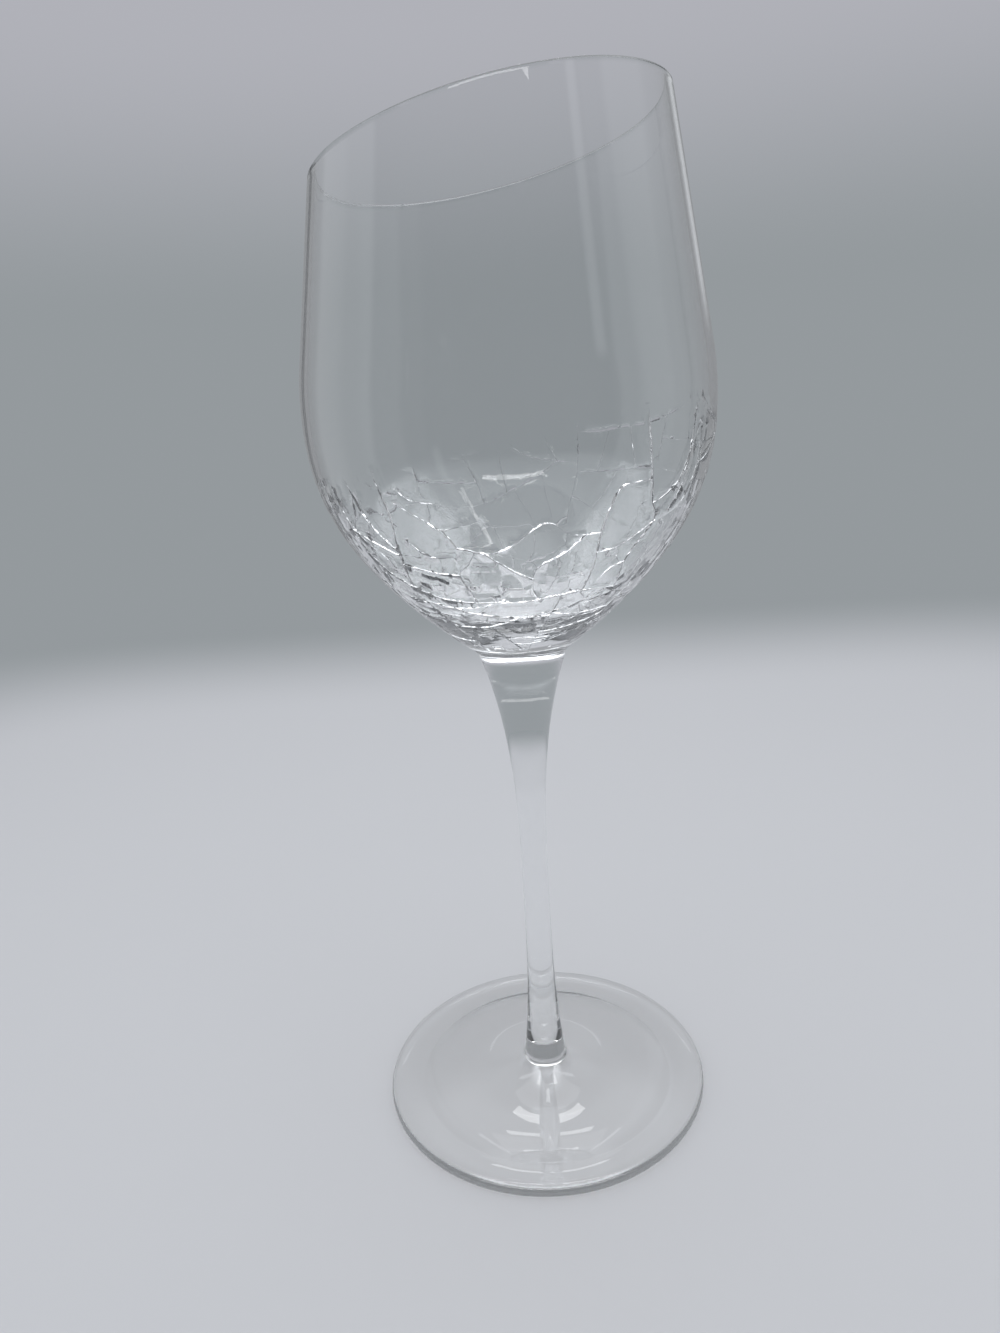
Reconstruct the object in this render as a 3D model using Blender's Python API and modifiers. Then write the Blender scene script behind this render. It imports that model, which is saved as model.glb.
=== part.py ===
"""A stemmed wine glass, blown in one piece, with a slanted rim and a crackled lower bowl.

The glass stands on its foot at the origin, +Z up, in metres. The low side of its rim faces -X.
Its wall is one closed skin: the inside, the lip, the taper, the stem and the foot are turned
from a profile, and the crackled lower bowl is a net of grooved cracks welded in between them.
"""

import math
import random

import bmesh
import bpy
import numpy as np
from mathutils import Vector, noise
from mathutils.geometry import delaunay_2d_cdt

# Foot
FOOT_RADIUS = 0.0430
FOOT_EDGE = 0.0030
FOOT_HUB_RADIUS = 0.0065
FOOT_HUB_HEIGHT = 0.0070
FOOT_FALL_AT_HUB = math.radians(17)
FOOT_FALL_AT_EDGE = math.radians(1.5)
HUB_HOLLOW = 0.45
RECESS_RADIUS = 0.0342
RECESS_SLOPE = math.radians(13)
RECESS_COVE = 0.0025
RECESS_HANDLE = 0.0230
RECESS_DEPTH = 0.0021

# Stem
STEM_ROOT_RADIUS = 0.0056
STEM_ROOT_HEIGHT = 0.0079
STEM_ROOT_FLARE = math.radians(7.8)
STEM_WAIST_RADIUS = 0.0034
STEM_WAIST_HEIGHT = 0.0600
COLLAR_RADIUS = 0.0109
COLLAR_HEIGHT = 0.1234

# Bowl
BELLY_RADIUS = 0.0460
BELLY_RISE = 0.0566
BELLY_HANDLE = 0.0176
COLLAR_HANDLE = 0.0377
COLLAR_ANGLE = math.radians(38.2)
SHOULDER_RADIUS = 0.0700
TAPER_ANGLE = math.radians(9.3)
WALL_AT_RIM = 0.0015
WALL_AT_BELLY = 0.0017
FLOOR_THICKNESS = 0.0062
FLOOR_HANDLE = 0.0110
WALL_FOOT_RISE = 0.0130
WALL_FOOT_HANDLE = 0.0070

# Rim
RIM_RISE = 0.0600
RIM_TILT = math.radians(10.1)
RIM_LOW_SIDE = math.radians(164.0)
LIP_ROUND = 0.00065
BLANK_EXTRA = 0.0060

# Crackled zone, from a ring just above the collar up to a slanted line alongside the rim
CRACKLE_DROP = 0.0605
CRACKLE_FADE = 0.0045
CRACKLE_START_RISE = 0.0032
CRACKLE_START_FADE = 0.0022
CRACKLE_GAP = 0.0006

# Cracks, each a groove with a V section that narrows to its end
CRACK_HALF_WIDTH = 0.00042
CRACK_DEPTH = 0.00050
LEAST_STRENGTH = 0.08
CRACK_STEP = 0.0055
CRACK_WANDER = 0.0024
CRACK_WANDER_SPAN = 0.0190

# Cells of the sides and the back, made by breaking panes of the skin in two again and again
CELL_AREA = 0.000170
CELL_AREA_LEAST = 0.6
CELL_AREA_MOST = 1.4
CELL_ASPECT = 1.3
CUT_TURN = math.radians(32)
CUT_SHIFT = 0.14
FIRST_CRACKS = 9
FIRST_CRACK_SHIFT = 0.25
FIRST_CRACK_TWIST = math.radians(22)
CRACK_SEED = 12

# Fineness of the mesh
TURN_STEPS = 48
INNER_STEPS = 12
FLOOR_STEPS = 5
FLARE_STEPS = 9
STEM_STEPS = 7
FOOT_STEPS = 6
ROUND_STEPS = 4
PANE_STEPS = 6
SKIN_STEPS = 400
PLATE_STEP = 0.0060
PLATE_CLEARANCE = 0.0018
EDGE_HALVINGS = 12
MERGE = 0.000001
DISC_MERGE = 0.0003
TINY = 1e-9
SHARP_ANGLE = math.radians(35)
MM = 0.001

# The large cracks of the front, as azimuth in degrees and height above the collar in millimetres
FRONT_CRACKS = (
    ((-107, 31.1), (-95, 30.0), (-82.5, 35.2), (-74.5, 32.5), (-66, 32.4)),
    ((-66, 32.4), (-64.5, 37.2), (-61.5, 41.0), (-53.5, 41.8)),
    ((-66, 32.4), (-65, 25.4), (-66, 19.5)),
    ((-55.5, 55.0), (-53.5, 46.0), (-51, 38.0), (-47.5, 33.0), (-52.5, 25.6), (-50, 19.0)),
    ((-50.5, 37.0), (-44, 39.0), (-38.5, 43.5), (-36.5, 54.0)),
    ((-47.5, 33.0), (-37, 35.2), (-33, 41.0), (-32.5, 50.0)),
    ((-65.3, 28.0), (-58, 29.0), (-47.5, 33.0)),
    ((-62, 21.3), (-57.5, 24.1), (-52.5, 25.2)),
    ((-99, 29.8), (-92, 26.0), (-85, 23.4)),
    ((-70, 32.3), (-77, 28.4), (-84, 26.0), (-85, 21.5), (-82, 18.5)),
    ((-102, 30.0), (-105, 27.3), (-108.5, 25.0), (-106, 18.2)),
    ((-108.5, 25.0), (-117, 25.6), (-128, 27.2)),
    ((-127, 48.0), (-124.8, 37.0), (-127.2, 30.0), (-131, 21.5)),
    ((-139, 48.0), (-134.5, 36.8), (-127.2, 30.0)),
    ((-144.5, 34.3), (-137, 32.0), (-127.5, 29.0)),
    ((-147, 46.0), (-144.5, 34.0), (-141, 26.0), (-131, 21.5)),
    ((-120, 43.0), (-117, 41.0), (-110, 40.2)),
    ((-122, 40.4), (-114.5, 37.0), (-110, 35.0), (-99.5, 36.6)),
    ((-110, 35.0), (-107, 31.1)),
    ((-121.5, 32.6), (-117, 29.4), (-108, 29.1)),
    ((-131, 21.5), (-118, 18.8), (-92, 18.1), (-66, 19.5), (-50, 19.0)),
)
FRONT_LEFT = math.radians(-146)
FRONT_RIGHT = math.radians(-33)
FRONT_LOWEST_RISE = 0.0188

# Heights and radii that follow from the values above
BELLY_HEIGHT = COLLAR_HEIGHT + BELLY_RISE
RIM_TOP = BELLY_HEIGHT + RIM_RISE
SHOULDER_HEIGHT = BELLY_HEIGHT + SHOULDER_RADIUS * math.sin(TAPER_ANGLE)
SHOULDER_INSET = SHOULDER_RADIUS * (1 - math.cos(TAPER_ANGLE))
BLANK_TOP = RIM_TOP + BLANK_EXTRA


def clear_scene():
    for old in list(bpy.data.objects):
        bpy.data.objects.remove(old, do_unlink=True)


def new_collection(name):
    collection = bpy.data.collections.new(name)
    bpy.context.scene.collection.children.link(collection)
    return collection


def bezier(start, start_handle, end_handle, end, count):
    """Points of a cubic curve, both ends included."""
    corners = [Vector(point) for point in (start, start_handle, end_handle, end)]
    points = []
    for index in range(count + 1):
        t = index / count
        weights = ((1 - t) ** 3, 3 * t * (1 - t) ** 2, 3 * t * t * (1 - t), t**3)
        points.append(sum((corner * weight for corner, weight in zip(corners, weights)), Vector((0, 0))))
    return points


def arc(centre, radius, start_angle, end_angle, count):
    """Points of a circular arc, both ends included. Angles run from the profile's outward axis."""
    points = []
    for index in range(count + 1):
        angle = start_angle + (end_angle - start_angle) * index / count
        points.append(Vector((centre[0] + radius * math.cos(angle), centre[1] + radius * math.sin(angle))))
    return points


def lower_bowl(count):
    """The outer bowl from the collar up to its widest ring, as radius and height."""
    collar = (COLLAR_RADIUS, COLLAR_HEIGHT)
    collar_handle = (
        COLLAR_RADIUS + COLLAR_HANDLE * math.cos(COLLAR_ANGLE),
        COLLAR_HEIGHT + COLLAR_HANDLE * math.sin(COLLAR_ANGLE),
    )
    belly_handle = (BELLY_RADIUS, BELLY_HEIGHT - BELLY_HANDLE)
    return bezier(collar, collar_handle, belly_handle, (BELLY_RADIUS, BELLY_HEIGHT), count)


def shoulder(inset, count):
    """The arc from the widest ring up to the straight taper, moved in by the wall for the inside."""
    centre = (BELLY_RADIUS - SHOULDER_RADIUS, BELLY_HEIGHT)
    return arc(centre, SHOULDER_RADIUS - inset, 0, TAPER_ANGLE, count)


def taper_point(height, inset):
    """A point of the straight taper above the shoulder."""
    above = height - SHOULDER_HEIGHT
    return Vector((BELLY_RADIUS - SHOULDER_INSET - above * math.tan(TAPER_ANGLE) - inset, height))


def inner_profile():
    """The inside, from the middle of its floor up to the top of the blank.

    The floor rounds up into a wall that runs alongside the outer bowl, one thickness from it.
    """
    outer = lower_bowl(INNER_STEPS)
    wall = []
    for before, point, after in zip(outer, outer[1:], outer[2:]):
        along = (after - before).normalized()
        if point.y > COLLAR_HEIGHT + WALL_FOOT_RISE:
            wall.append(point + Vector((-along.y, along.x)) * WALL_AT_BELLY)
    floor = Vector((0, COLLAR_HEIGHT + FLOOR_THICKNESS))
    wall_foot = wall[0]
    down_wall = (wall[0] - wall[1]).normalized()
    rounding = bezier(
        floor,
        floor + Vector((FLOOR_HANDLE, 0)),
        wall_foot + down_wall * WALL_FOOT_HANDLE,
        wall_foot,
        FLOOR_STEPS,
    )
    upper = shoulder(WALL_AT_BELLY, ROUND_STEPS)
    return rounding + wall[1:] + upper + [taper_point(BLANK_TOP, WALL_AT_RIM)]


def stem_profile():
    """The stem, flaring from its waist up to the collar and widening a little down to its root."""
    waist = (STEM_WAIST_RADIUS, STEM_WAIST_HEIGHT)
    rise = (COLLAR_HEIGHT - STEM_WAIST_HEIGHT) / 3
    flare = bezier(
        (COLLAR_RADIUS, COLLAR_HEIGHT),
        (STEM_WAIST_RADIUS, COLLAR_HEIGHT - rise),
        (STEM_WAIST_RADIUS, STEM_WAIST_HEIGHT + rise),
        waist,
        FLARE_STEPS,
    )
    fall = (STEM_WAIST_HEIGHT - STEM_ROOT_HEIGHT) / 3
    lower = bezier(
        waist,
        (STEM_WAIST_RADIUS, STEM_WAIST_HEIGHT - fall),
        (STEM_ROOT_RADIUS - fall * math.tan(STEM_ROOT_FLARE), STEM_ROOT_HEIGHT + fall),
        (STEM_ROOT_RADIUS, STEM_ROOT_HEIGHT),
        STEM_STEPS,
    )
    return flare + lower[1:]


def foot_profile():
    """The foot, from the root of the stem over its top, round its edge and in under it."""
    hub = Vector((FOOT_HUB_RADIUS, FOOT_HUB_HEIGHT))
    root = Vector((STEM_ROOT_RADIUS, STEM_ROOT_HEIGHT))
    gap = FOOT_HUB_RADIUS - STEM_ROOT_RADIUS
    corner = hub + Vector((-gap, gap * math.tan(FOOT_FALL_AT_HUB)))
    fillet = bezier(root, root.lerp(corner, HUB_HOLLOW), hub.lerp(corner, HUB_HOLLOW), hub, ROUND_STEPS)
    edge_radius = FOOT_EDGE / 2
    edge_centre = (FOOT_RADIUS - edge_radius, edge_radius)
    edge = arc(edge_centre, edge_radius, math.pi / 2, -math.pi / 2, FOOT_STEPS)
    reach = (edge[0].x - FOOT_HUB_RADIUS) / 3
    top = bezier(
        hub,
        hub + Vector((reach, -reach * math.tan(FOOT_FALL_AT_HUB))),
        edge[0] + Vector((-reach, reach * math.tan(FOOT_FALL_AT_EDGE))),
        edge[0],
        FOOT_STEPS,
    )
    cove = Vector((-math.cos(RECESS_SLOPE), math.sin(RECESS_SLOPE))) * RECESS_COVE
    recess = bezier(
        (RECESS_RADIUS, 0),
        Vector((RECESS_RADIUS, 0)) + cove,
        (RECESS_HANDLE, RECESS_DEPTH),
        (0, RECESS_DEPTH),
        FOOT_STEPS,
    )
    return fillet[1:] + top[1:] + edge[1:] + recess


class BowlSkin:
    """The outer skin of the crackled bowl, pressed flat onto a disc with its angles kept true.

    A place on the disc is an azimuth and a spread. The spread grows by one radius of travel up
    the bowl for each radian, so a small shape on the disc keeps its form on the bowl.
    """

    def __init__(self):
        fine = lower_bowl(SKIN_STEPS) + shoulder(0, SKIN_STEPS)[1:]
        radius = np.array([point.x for point in fine])
        height = np.array([point.y for point in fine])
        travel = np.concatenate([[0], np.cumsum(np.hypot(np.diff(radius), np.diff(height)))])
        middle = (radius[1:] + radius[:-1]) / 2
        spread = np.concatenate([[0], np.cumsum(np.diff(travel) / middle)])
        self.spread = spread - spread[-1]
        self.radius = radius
        self.height = height
        slope_out = np.gradient(radius, travel)
        slope_up = np.gradient(height, travel)
        self.normal_out = slope_up
        self.normal_up = -slope_out
        self.lowest = self.spread_at(COLLAR_HEIGHT + CRACKLE_START_RISE)

    def spread_at(self, height):
        return float(np.interp(height, self.height, self.spread))

    def radius_at(self, spread):
        return float(np.interp(spread, self.spread, self.radius))

    def height_at(self, spread):
        return float(np.interp(spread, self.spread, self.height))

    def place(self, azimuth, spread, depth):
        """A point of the bowl, sunk by depth below its skin."""
        out = self.radius_at(spread) - depth * float(np.interp(spread, self.spread, self.normal_out))
        up = self.height_at(spread) - depth * float(np.interp(spread, self.spread, self.normal_up))
        return Vector((out * math.cos(azimuth), out * math.sin(azimuth), up))


def to_disc(azimuth, spread):
    return Vector((math.exp(spread) * math.cos(azimuth), math.exp(spread) * math.sin(azimuth)))


def from_disc(point):
    return math.atan2(point.y, point.x), math.log(max(point.length, TINY))


def rim_plane_height(x, y):
    """Height of the slanted rim plane. Its high side passes through the top of the rim."""
    slope = math.tan(RIM_TILT)
    reach = taper_point(RIM_TOP, 0).x
    along = x * math.cos(RIM_LOW_SIDE) + y * math.sin(RIM_LOW_SIDE)
    return RIM_TOP - slope * (along + reach)


def crackle_strength(skin, azimuth, spread):
    """1 in the crackled zone, falling to 0 at the slanted line where the cracks end."""
    radius = skin.radius_at(spread)
    height = skin.height_at(spread)
    line = rim_plane_height(radius * math.cos(azimuth), radius * math.sin(azimuth)) - CRACKLE_DROP
    below_line = (line - height) / CRACKLE_FADE
    below_shoulder = (SHOULDER_HEIGHT - height - CRACKLE_GAP) / CRACKLE_FADE
    above_start = ((spread - skin.lowest) * radius - CRACKLE_GAP) / CRACKLE_START_FADE
    return max(0.0, min(1.0, below_line, below_shoulder, above_start))


def split(polygon, point, direction):
    """Cuts a convex polygon of the disc along a line. Returns the two halves and the crack."""
    side = Vector((-direction.y, direction.x))
    halves = ([], [])
    ends = []
    for index, corner in enumerate(polygon):
        following = polygon[(index + 1) % len(polygon)]
        here = (corner - point).dot(side)
        there = (following - point).dot(side)
        halves[0 if here >= 0 else 1].append(corner)
        if (here >= 0) != (there >= 0):
            crossing = corner.lerp(following, here / (here - there))
            ends.append(crossing)
            halves[0].append(crossing)
            halves[1].append(crossing)
    return halves, ends


def area_of(polygon):
    total = 0.0
    for index, corner in enumerate(polygon):
        following = polygon[(index + 1) % len(polygon)]
        total += corner.x * following.y - corner.y * following.x
    return abs(total) / 2


def break_up(skin, polygon, rng, cracks):
    """Breaks one pane of the skin in two, again and again, until its pieces are small."""
    centre = sum(polygon, Vector((0, 0))) / len(polygon)
    azimuth, spread = from_disc(centre)
    scale = skin.radius_at(spread) / centre.length
    if area_of(polygon) * scale * scale < CELL_AREA * rng.uniform(CELL_AREA_LEAST, CELL_AREA_MOST):
        return
    outward = centre.normalized()
    around = Vector((-outward.y, outward.x))
    tall = max(point.dot(outward) for point in polygon) - min(point.dot(outward) for point in polygon)
    wide = max(point.dot(around) for point in polygon) - min(point.dot(around) for point in polygon)
    direction = around if tall * CELL_ASPECT > wide else outward
    turn = rng.uniform(-CUT_TURN, CUT_TURN)
    direction = direction * math.cos(turn) + Vector((-direction.y, direction.x)) * math.sin(turn)
    shift_out = tall * rng.uniform(-CUT_SHIFT, CUT_SHIFT)
    shift_around = wide * rng.uniform(-CUT_SHIFT, CUT_SHIFT)
    halves, ends = split(polygon, centre + outward * shift_out + around * shift_around, direction)
    if len(ends) != 2:
        return
    cracks.append(ends)
    for half in halves:
        break_up(skin, half, rng, cracks)


def wander(skin, point):
    """Moves a place of the disc a little, so that cracks run in soft waves."""
    azimuth, spread = from_disc(point)
    place = skin.place(azimuth, spread, 0) / CRACK_WANDER_SPAN
    push = noise.noise_vector(place) * CRACK_WANDER / skin.radius_at(spread)
    return to_disc(azimuth + push.x, spread + push.y)


def walk(skin, start, end):
    """Even steps along a straight line of the disc, both ends included."""
    middle = (start + end) / 2
    scale = skin.radius_at(from_disc(middle)[1]) / middle.length
    count = max(1, round((end - start).length * scale / CRACK_STEP))
    return [start.lerp(end, index / count) for index in range(count + 1)]


def in_front(skin, point):
    azimuth, spread = from_disc(point)
    rise = skin.height_at(spread) - COLLAR_HEIGHT
    return FRONT_LEFT < azimuth < FRONT_RIGHT and rise > FRONT_LOWEST_RISE


def random_cracks(skin):
    """The cracks of the sides, the back and the underside, as lines on the disc."""
    rng = random.Random(CRACK_SEED)
    noise.seed_set(CRACK_SEED)
    turns = []
    for index in range(FIRST_CRACKS):
        turn = 2 * math.pi * (index + rng.uniform(-FIRST_CRACK_SHIFT, FIRST_CRACK_SHIFT)) / FIRST_CRACKS
        turns.append((turn, turn + rng.uniform(-FIRST_CRACK_TWIST, FIRST_CRACK_TWIST)))
    turns.append((turns[0][0] + 2 * math.pi, turns[0][1] + 2 * math.pi))
    cracks = []
    for (left, left_top), (right, right_top) in zip(turns, turns[1:]):
        width = right_top - left_top
        outer = [to_disc(left_top + width * step / PANE_STEPS, 0) for step in range(PANE_STEPS + 1)]
        inner = [to_disc(right, skin.lowest), to_disc(left, skin.lowest)]
        cracks.append([inner[1], outer[0]])
        break_up(skin, outer + inner, rng, cracks)
    lines = []
    for start, end in cracks:
        run = []
        for point in walk(skin, start, end):
            if in_front(skin, point):
                lines.append(run)
                run = []
            else:
                run.append(wander(skin, point))
        lines.append(run)
    return lines


def front_cracks(skin):
    """The large cracks of the front, as smooth curves through their chosen places."""
    lines = []
    for crack in FRONT_CRACKS:
        places = []
        for degrees, rise in crack:
            places.append(Vector((math.radians(degrees), skin.spread_at(COLLAR_HEIGHT + rise * MM))))
        before = places[0] * 2 - places[1]
        after = places[-1] * 2 - places[-2]
        knots = [before] + places + [after]
        line = []
        for index in range(1, len(knots) - 2):
            first, start, end, last = knots[index - 1 : index + 3]
            length = (end - start).length * skin.radius_at(start.y)
            count = max(1, round(length / CRACK_STEP))
            curve = bezier(start, start + (end - first) / 6, end - (last - start) / 6, end, count)
            line += [to_disc(*place) for place in curve[:-1]]
        lines.append(line + [to_disc(*places[-1])])
    return lines


def strength_at(skin, point):
    return crackle_strength(skin, *from_disc(point))


def is_cracked(skin, point):
    return strength_at(skin, point) > LEAST_STRENGTH


def zone_edge(skin, here, there):
    """The place between two points, one crackled and one not, where a crack comes to its end."""
    for _ in range(EDGE_HALVINGS):
        middle = (here + there) / 2
        if is_cracked(skin, middle) == is_cracked(skin, here):
            here = middle
        else:
            there = middle
    return here


def live_runs(skin, line):
    """The stretches of a crack that lie in the crackled zone."""
    runs = [[]]
    for here, there in zip(line, line[1:] + line[-1:]):
        alive = is_cracked(skin, here)
        if alive:
            runs[-1].append(here)
        if alive != is_cracked(skin, there):
            runs[-1].append(zone_edge(skin, here, there))
            runs += [[]] if alive else []
    return [run for run in runs if len(run) > 1]


def half_width(skin, point, strength):
    """Half the width of a crack's groove, as a length on the disc."""
    return CRACK_HALF_WIDTH * math.sqrt(strength) * point.length / skin.radius_at(from_disc(point)[1])


def lips(skin, line, strengths):
    """The two edges of a crack's groove. At each end they stop short, at the lip of the crack it joins."""
    sides = ([], [])
    for index, point in enumerate(line):
        ahead = line[min(index + 1, len(line) - 1)] - line[max(index - 1, 0)]
        ahead.normalize()
        width = half_width(skin, point, strengths[index])
        inward = {0: 1, len(line) - 1: -1}.get(index, 0)
        across = Vector((-ahead.y, ahead.x)) * width
        for side, way in zip(sides, (1, -1)):
            side.append(point + ahead * width * inward + across * way)
    return sides


class Net:
    """Points and edges on the disc, which become one sheet of triangles."""

    def __init__(self):
        self.points = []
        self.edges = []

    def add_line(self, line):
        first = len(self.points)
        self.points += line
        self.edges += [(first + index, first + index + 1) for index in range(len(line) - 1)]

    def add_ring(self, spread, count):
        first = len(self.points)
        self.points += [to_disc(2 * math.pi * index / count, spread) for index in range(count)]
        self.edges += [(first + index, first + (index + 1) % count) for index in range(count)]


class Grooves:
    """How deep the cracks are sunk at any place of the disc."""

    def __init__(self, skin):
        self.skin = skin
        self.starts = []
        self.ends = []
        self.strengths = []

    def add(self, line, strengths):
        self.starts += line[:-1]
        self.ends += line[1:]
        self.strengths += zip(strengths, strengths[1:])

    def finish(self):
        self.start = np.array(self.starts)
        self.run = np.array(self.ends) - self.start
        self.run_squared = np.maximum((self.run**2).sum(axis=1), TINY**2)
        self.strength = np.array(self.strengths)

    def nearest(self, point):
        """The distance to each crack's line, and its strength there."""
        offset = np.array(point) - self.start
        along = np.clip((offset * self.run).sum(axis=1) / self.run_squared, 0, 1)
        gap = np.hypot(*(offset - self.run * along[:, None]).T)
        return gap, self.strength[:, 0] * (1 - along) + self.strength[:, 1] * along

    def depth(self, point):
        gap, strength = self.nearest(point)
        radius = self.skin.radius_at(from_disc(point)[1])
        width = CRACK_HALF_WIDTH * np.sqrt(strength) * point.length / radius
        return float((CRACK_DEPTH * strength * np.clip(1 - gap / width, 0, 1)).max())


def plate_points(skin, grooves):
    """Points that carry the skin between the cracks, in rings, one of them on the widest ring."""
    widest = skin.spread_at(BELLY_HEIGHT)
    rows = max(1, round(SHOULDER_RADIUS * TAPER_ANGLE / PLATE_STEP))
    spreads = [widest * row / rows for row in range(1, rows + 1)]
    while spreads[-1] > skin.lowest:
        spreads.append(spreads[-1] - PLATE_STEP / skin.radius_at(spreads[-1]))
    points = []
    for spread in spreads[:-1]:
        radius = skin.radius_at(spread)
        count = 4 * round(math.pi * radius / (2 * PLATE_STEP))
        for index in range(count):
            point = to_disc(2 * math.pi * index / count, spread)
            if grooves.nearest(point)[0].min() > PLATE_CLEARANCE * point.length / radius:
                points.append(point)
    return points


def crackled_sheet(skin):
    """The crackled skin as points in space and triangles between them."""
    net = Net()
    grooves = Grooves(skin)
    for crack in random_cracks(skin) + front_cracks(skin):
        for line in live_runs(skin, crack):
            strengths = [strength_at(skin, point) for point in line]
            grooves.add(line, strengths)
            net.add_line(line)
            for lip in lips(skin, line, strengths):
                net.add_line(lip)
    grooves.finish()
    net.points += plate_points(skin, grooves)
    net.add_ring(0.0, TURN_STEPS)
    net.add_ring(skin.lowest, TURN_STEPS)
    points, _, faces, _, _, _ = delaunay_2d_cdt(net.points, net.edges, [], 0, DISC_MERGE, False)
    hole = math.exp(skin.lowest) * math.cos(math.pi / TURN_STEPS)
    places = [skin.place(*from_disc(point), grooves.depth(point)) for point in points]
    kept = []
    for face in faces:
        middle = sum((points[corner] for corner in face), Vector((0, 0))) / len(face)
        facet = (math.atan2(middle.y, middle.x) % (2 * math.pi / TURN_STEPS)) - math.pi / TURN_STEPS
        if middle.length > hole / math.cos(facet):
            kept.append(face)
    return places, kept


def turned_parts(skin, collection):
    """The inside, the taper, the stem and the foot, turned from two open profiles."""
    upper = inner_profile() + [taper_point(BLANK_TOP, 0), taper_point(SHOULDER_HEIGHT, 0)]
    start = Vector((skin.radius_at(skin.lowest), skin.height_at(skin.lowest)))
    lower = [start] + stem_profile() + foot_profile()
    points = [(point.x, 0, point.y) for point in upper + lower]
    edges = [(index, index + 1) for index in range(len(points) - 1) if index != len(upper) - 1]
    mesh = bpy.data.meshes.new("turning_profile")
    mesh.from_pydata(points, edges, [])
    profile = bpy.data.objects.new("turning_profile", mesh)
    collection.objects.link(profile)
    screw = profile.modifiers.new("turn", "SCREW")
    screw.axis = "Z"
    screw.steps = TURN_STEPS
    screw.render_steps = TURN_STEPS
    screw.use_merge_vertices = True
    screw.merge_threshold = MERGE
    turned = bpy.data.meshes.new_from_object(profile.evaluated_get(bpy.context.evaluated_depsgraph_get()))
    bpy.data.objects.remove(profile, do_unlink=True)
    return turned


def cut_rim(shape):
    """Cuts the tall blank off along the slanted rim, joins its two edges by a lip and rounds it."""
    everything = shape.verts[:] + shape.edges[:] + shape.faces[:]
    slope = math.tan(RIM_TILT)
    normal = Vector((slope * math.cos(RIM_LOW_SIDE), slope * math.sin(RIM_LOW_SIDE), 1)).normalized()
    centre = Vector((0, 0, rim_plane_height(0, 0)))
    bmesh.ops.bisect_plane(
        shape, geom=everything, dist=MERGE / 10, plane_co=centre, plane_no=normal, clear_outer=True
    )
    rim = [edge for edge in shape.edges if edge.is_boundary]
    bmesh.ops.bridge_loops(shape, edges=rim)
    bmesh.ops.recalc_face_normals(shape, faces=shape.faces[:])
    bmesh.ops.bevel(
        shape, geom=rim, offset=LIP_ROUND, offset_type="OFFSET", segments=ROUND_STEPS, profile=0.5,
        affect="EDGES", clamp_overlap=True,
    )


def glass_material():
    material = bpy.data.materials.new("clear_glass")
    material.use_nodes = True
    shader = material.node_tree.nodes["Principled BSDF"]
    shader.inputs["Base Color"].default_value = (0.93, 0.95, 0.96, 1)
    shader.inputs["Roughness"].default_value = 0.02
    shader.inputs["Metallic"].default_value = 0.0
    shader.inputs["IOR"].default_value = 1.5
    shader.inputs["Transmission Weight"].default_value = 1.0
    return material


def make_glass(collection):
    skin = BowlSkin()
    shape = bmesh.new()
    shape.from_mesh(turned_parts(skin, collection))
    places, faces = crackled_sheet(skin)
    corners = [shape.verts.new(place) for place in places]
    for face in faces:
        shape.faces.new([corners[index] for index in face])
    bmesh.ops.delete(shape, geom=[vert for vert in shape.verts if not vert.link_faces], context="VERTS")
    bmesh.ops.remove_doubles(shape, verts=shape.verts[:], dist=MERGE)
    cut_rim(shape)
    mesh = bpy.data.meshes.new("wine_glass")
    shape.to_mesh(mesh)
    shape.free()
    mesh.shade_smooth()
    mesh.set_sharp_from_angle(angle=SHARP_ANGLE)
    glass = bpy.data.objects.new("wine_glass", mesh)
    glass.data.materials.append(glass_material())
    collection.objects.link(glass)


def main():
    clear_scene()
    make_glass(new_collection("crackled_wine_glass"))


main()
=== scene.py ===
"""The looks of a stemmed wine glass with a crackled lower bowl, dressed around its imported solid.

The glass is turned again on the same profile as the solid, finely enough to bend light smoothly.
Its cracks keep their places. Here each one has softened lips, a groove, and below the groove the
thin slanted fissure that runs on into the wall and catches the light. Lengths are in metres.
"""

import math
import random

import bmesh
import bpy
import numpy as np
from mathutils import Matrix, Vector, noise
from mathutils.geometry import delaunay_2d_cdt
from mathutils.kdtree import KDTree


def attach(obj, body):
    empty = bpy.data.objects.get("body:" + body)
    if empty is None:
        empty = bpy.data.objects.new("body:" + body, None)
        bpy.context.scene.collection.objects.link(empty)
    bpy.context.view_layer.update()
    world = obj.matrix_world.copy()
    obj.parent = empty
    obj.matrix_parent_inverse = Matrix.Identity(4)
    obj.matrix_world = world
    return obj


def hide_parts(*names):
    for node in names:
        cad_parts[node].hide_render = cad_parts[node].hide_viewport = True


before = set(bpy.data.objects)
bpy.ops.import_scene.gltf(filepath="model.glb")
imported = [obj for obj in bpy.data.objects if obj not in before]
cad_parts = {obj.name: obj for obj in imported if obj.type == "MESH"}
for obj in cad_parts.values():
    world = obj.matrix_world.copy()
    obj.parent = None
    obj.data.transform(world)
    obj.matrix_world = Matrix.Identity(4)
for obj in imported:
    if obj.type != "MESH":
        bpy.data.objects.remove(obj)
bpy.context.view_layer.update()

MM = 0.001

# Foot
FOOT_RADIUS = 0.0430
FOOT_EDGE = 0.0030
FOOT_HUB_RADIUS = 0.0065
FOOT_HUB_HEIGHT = 0.0070
FOOT_FALL_AT_HUB = math.radians(17)
FOOT_FALL_AT_EDGE = math.radians(1.5)
HUB_HOLLOW = 0.45
RECESS_RADIUS = 0.0342
RECESS_SLOPE = math.radians(13)
RECESS_COVE = 0.0025
RECESS_HANDLE = 0.0230
RECESS_DEPTH = 0.0021

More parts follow.
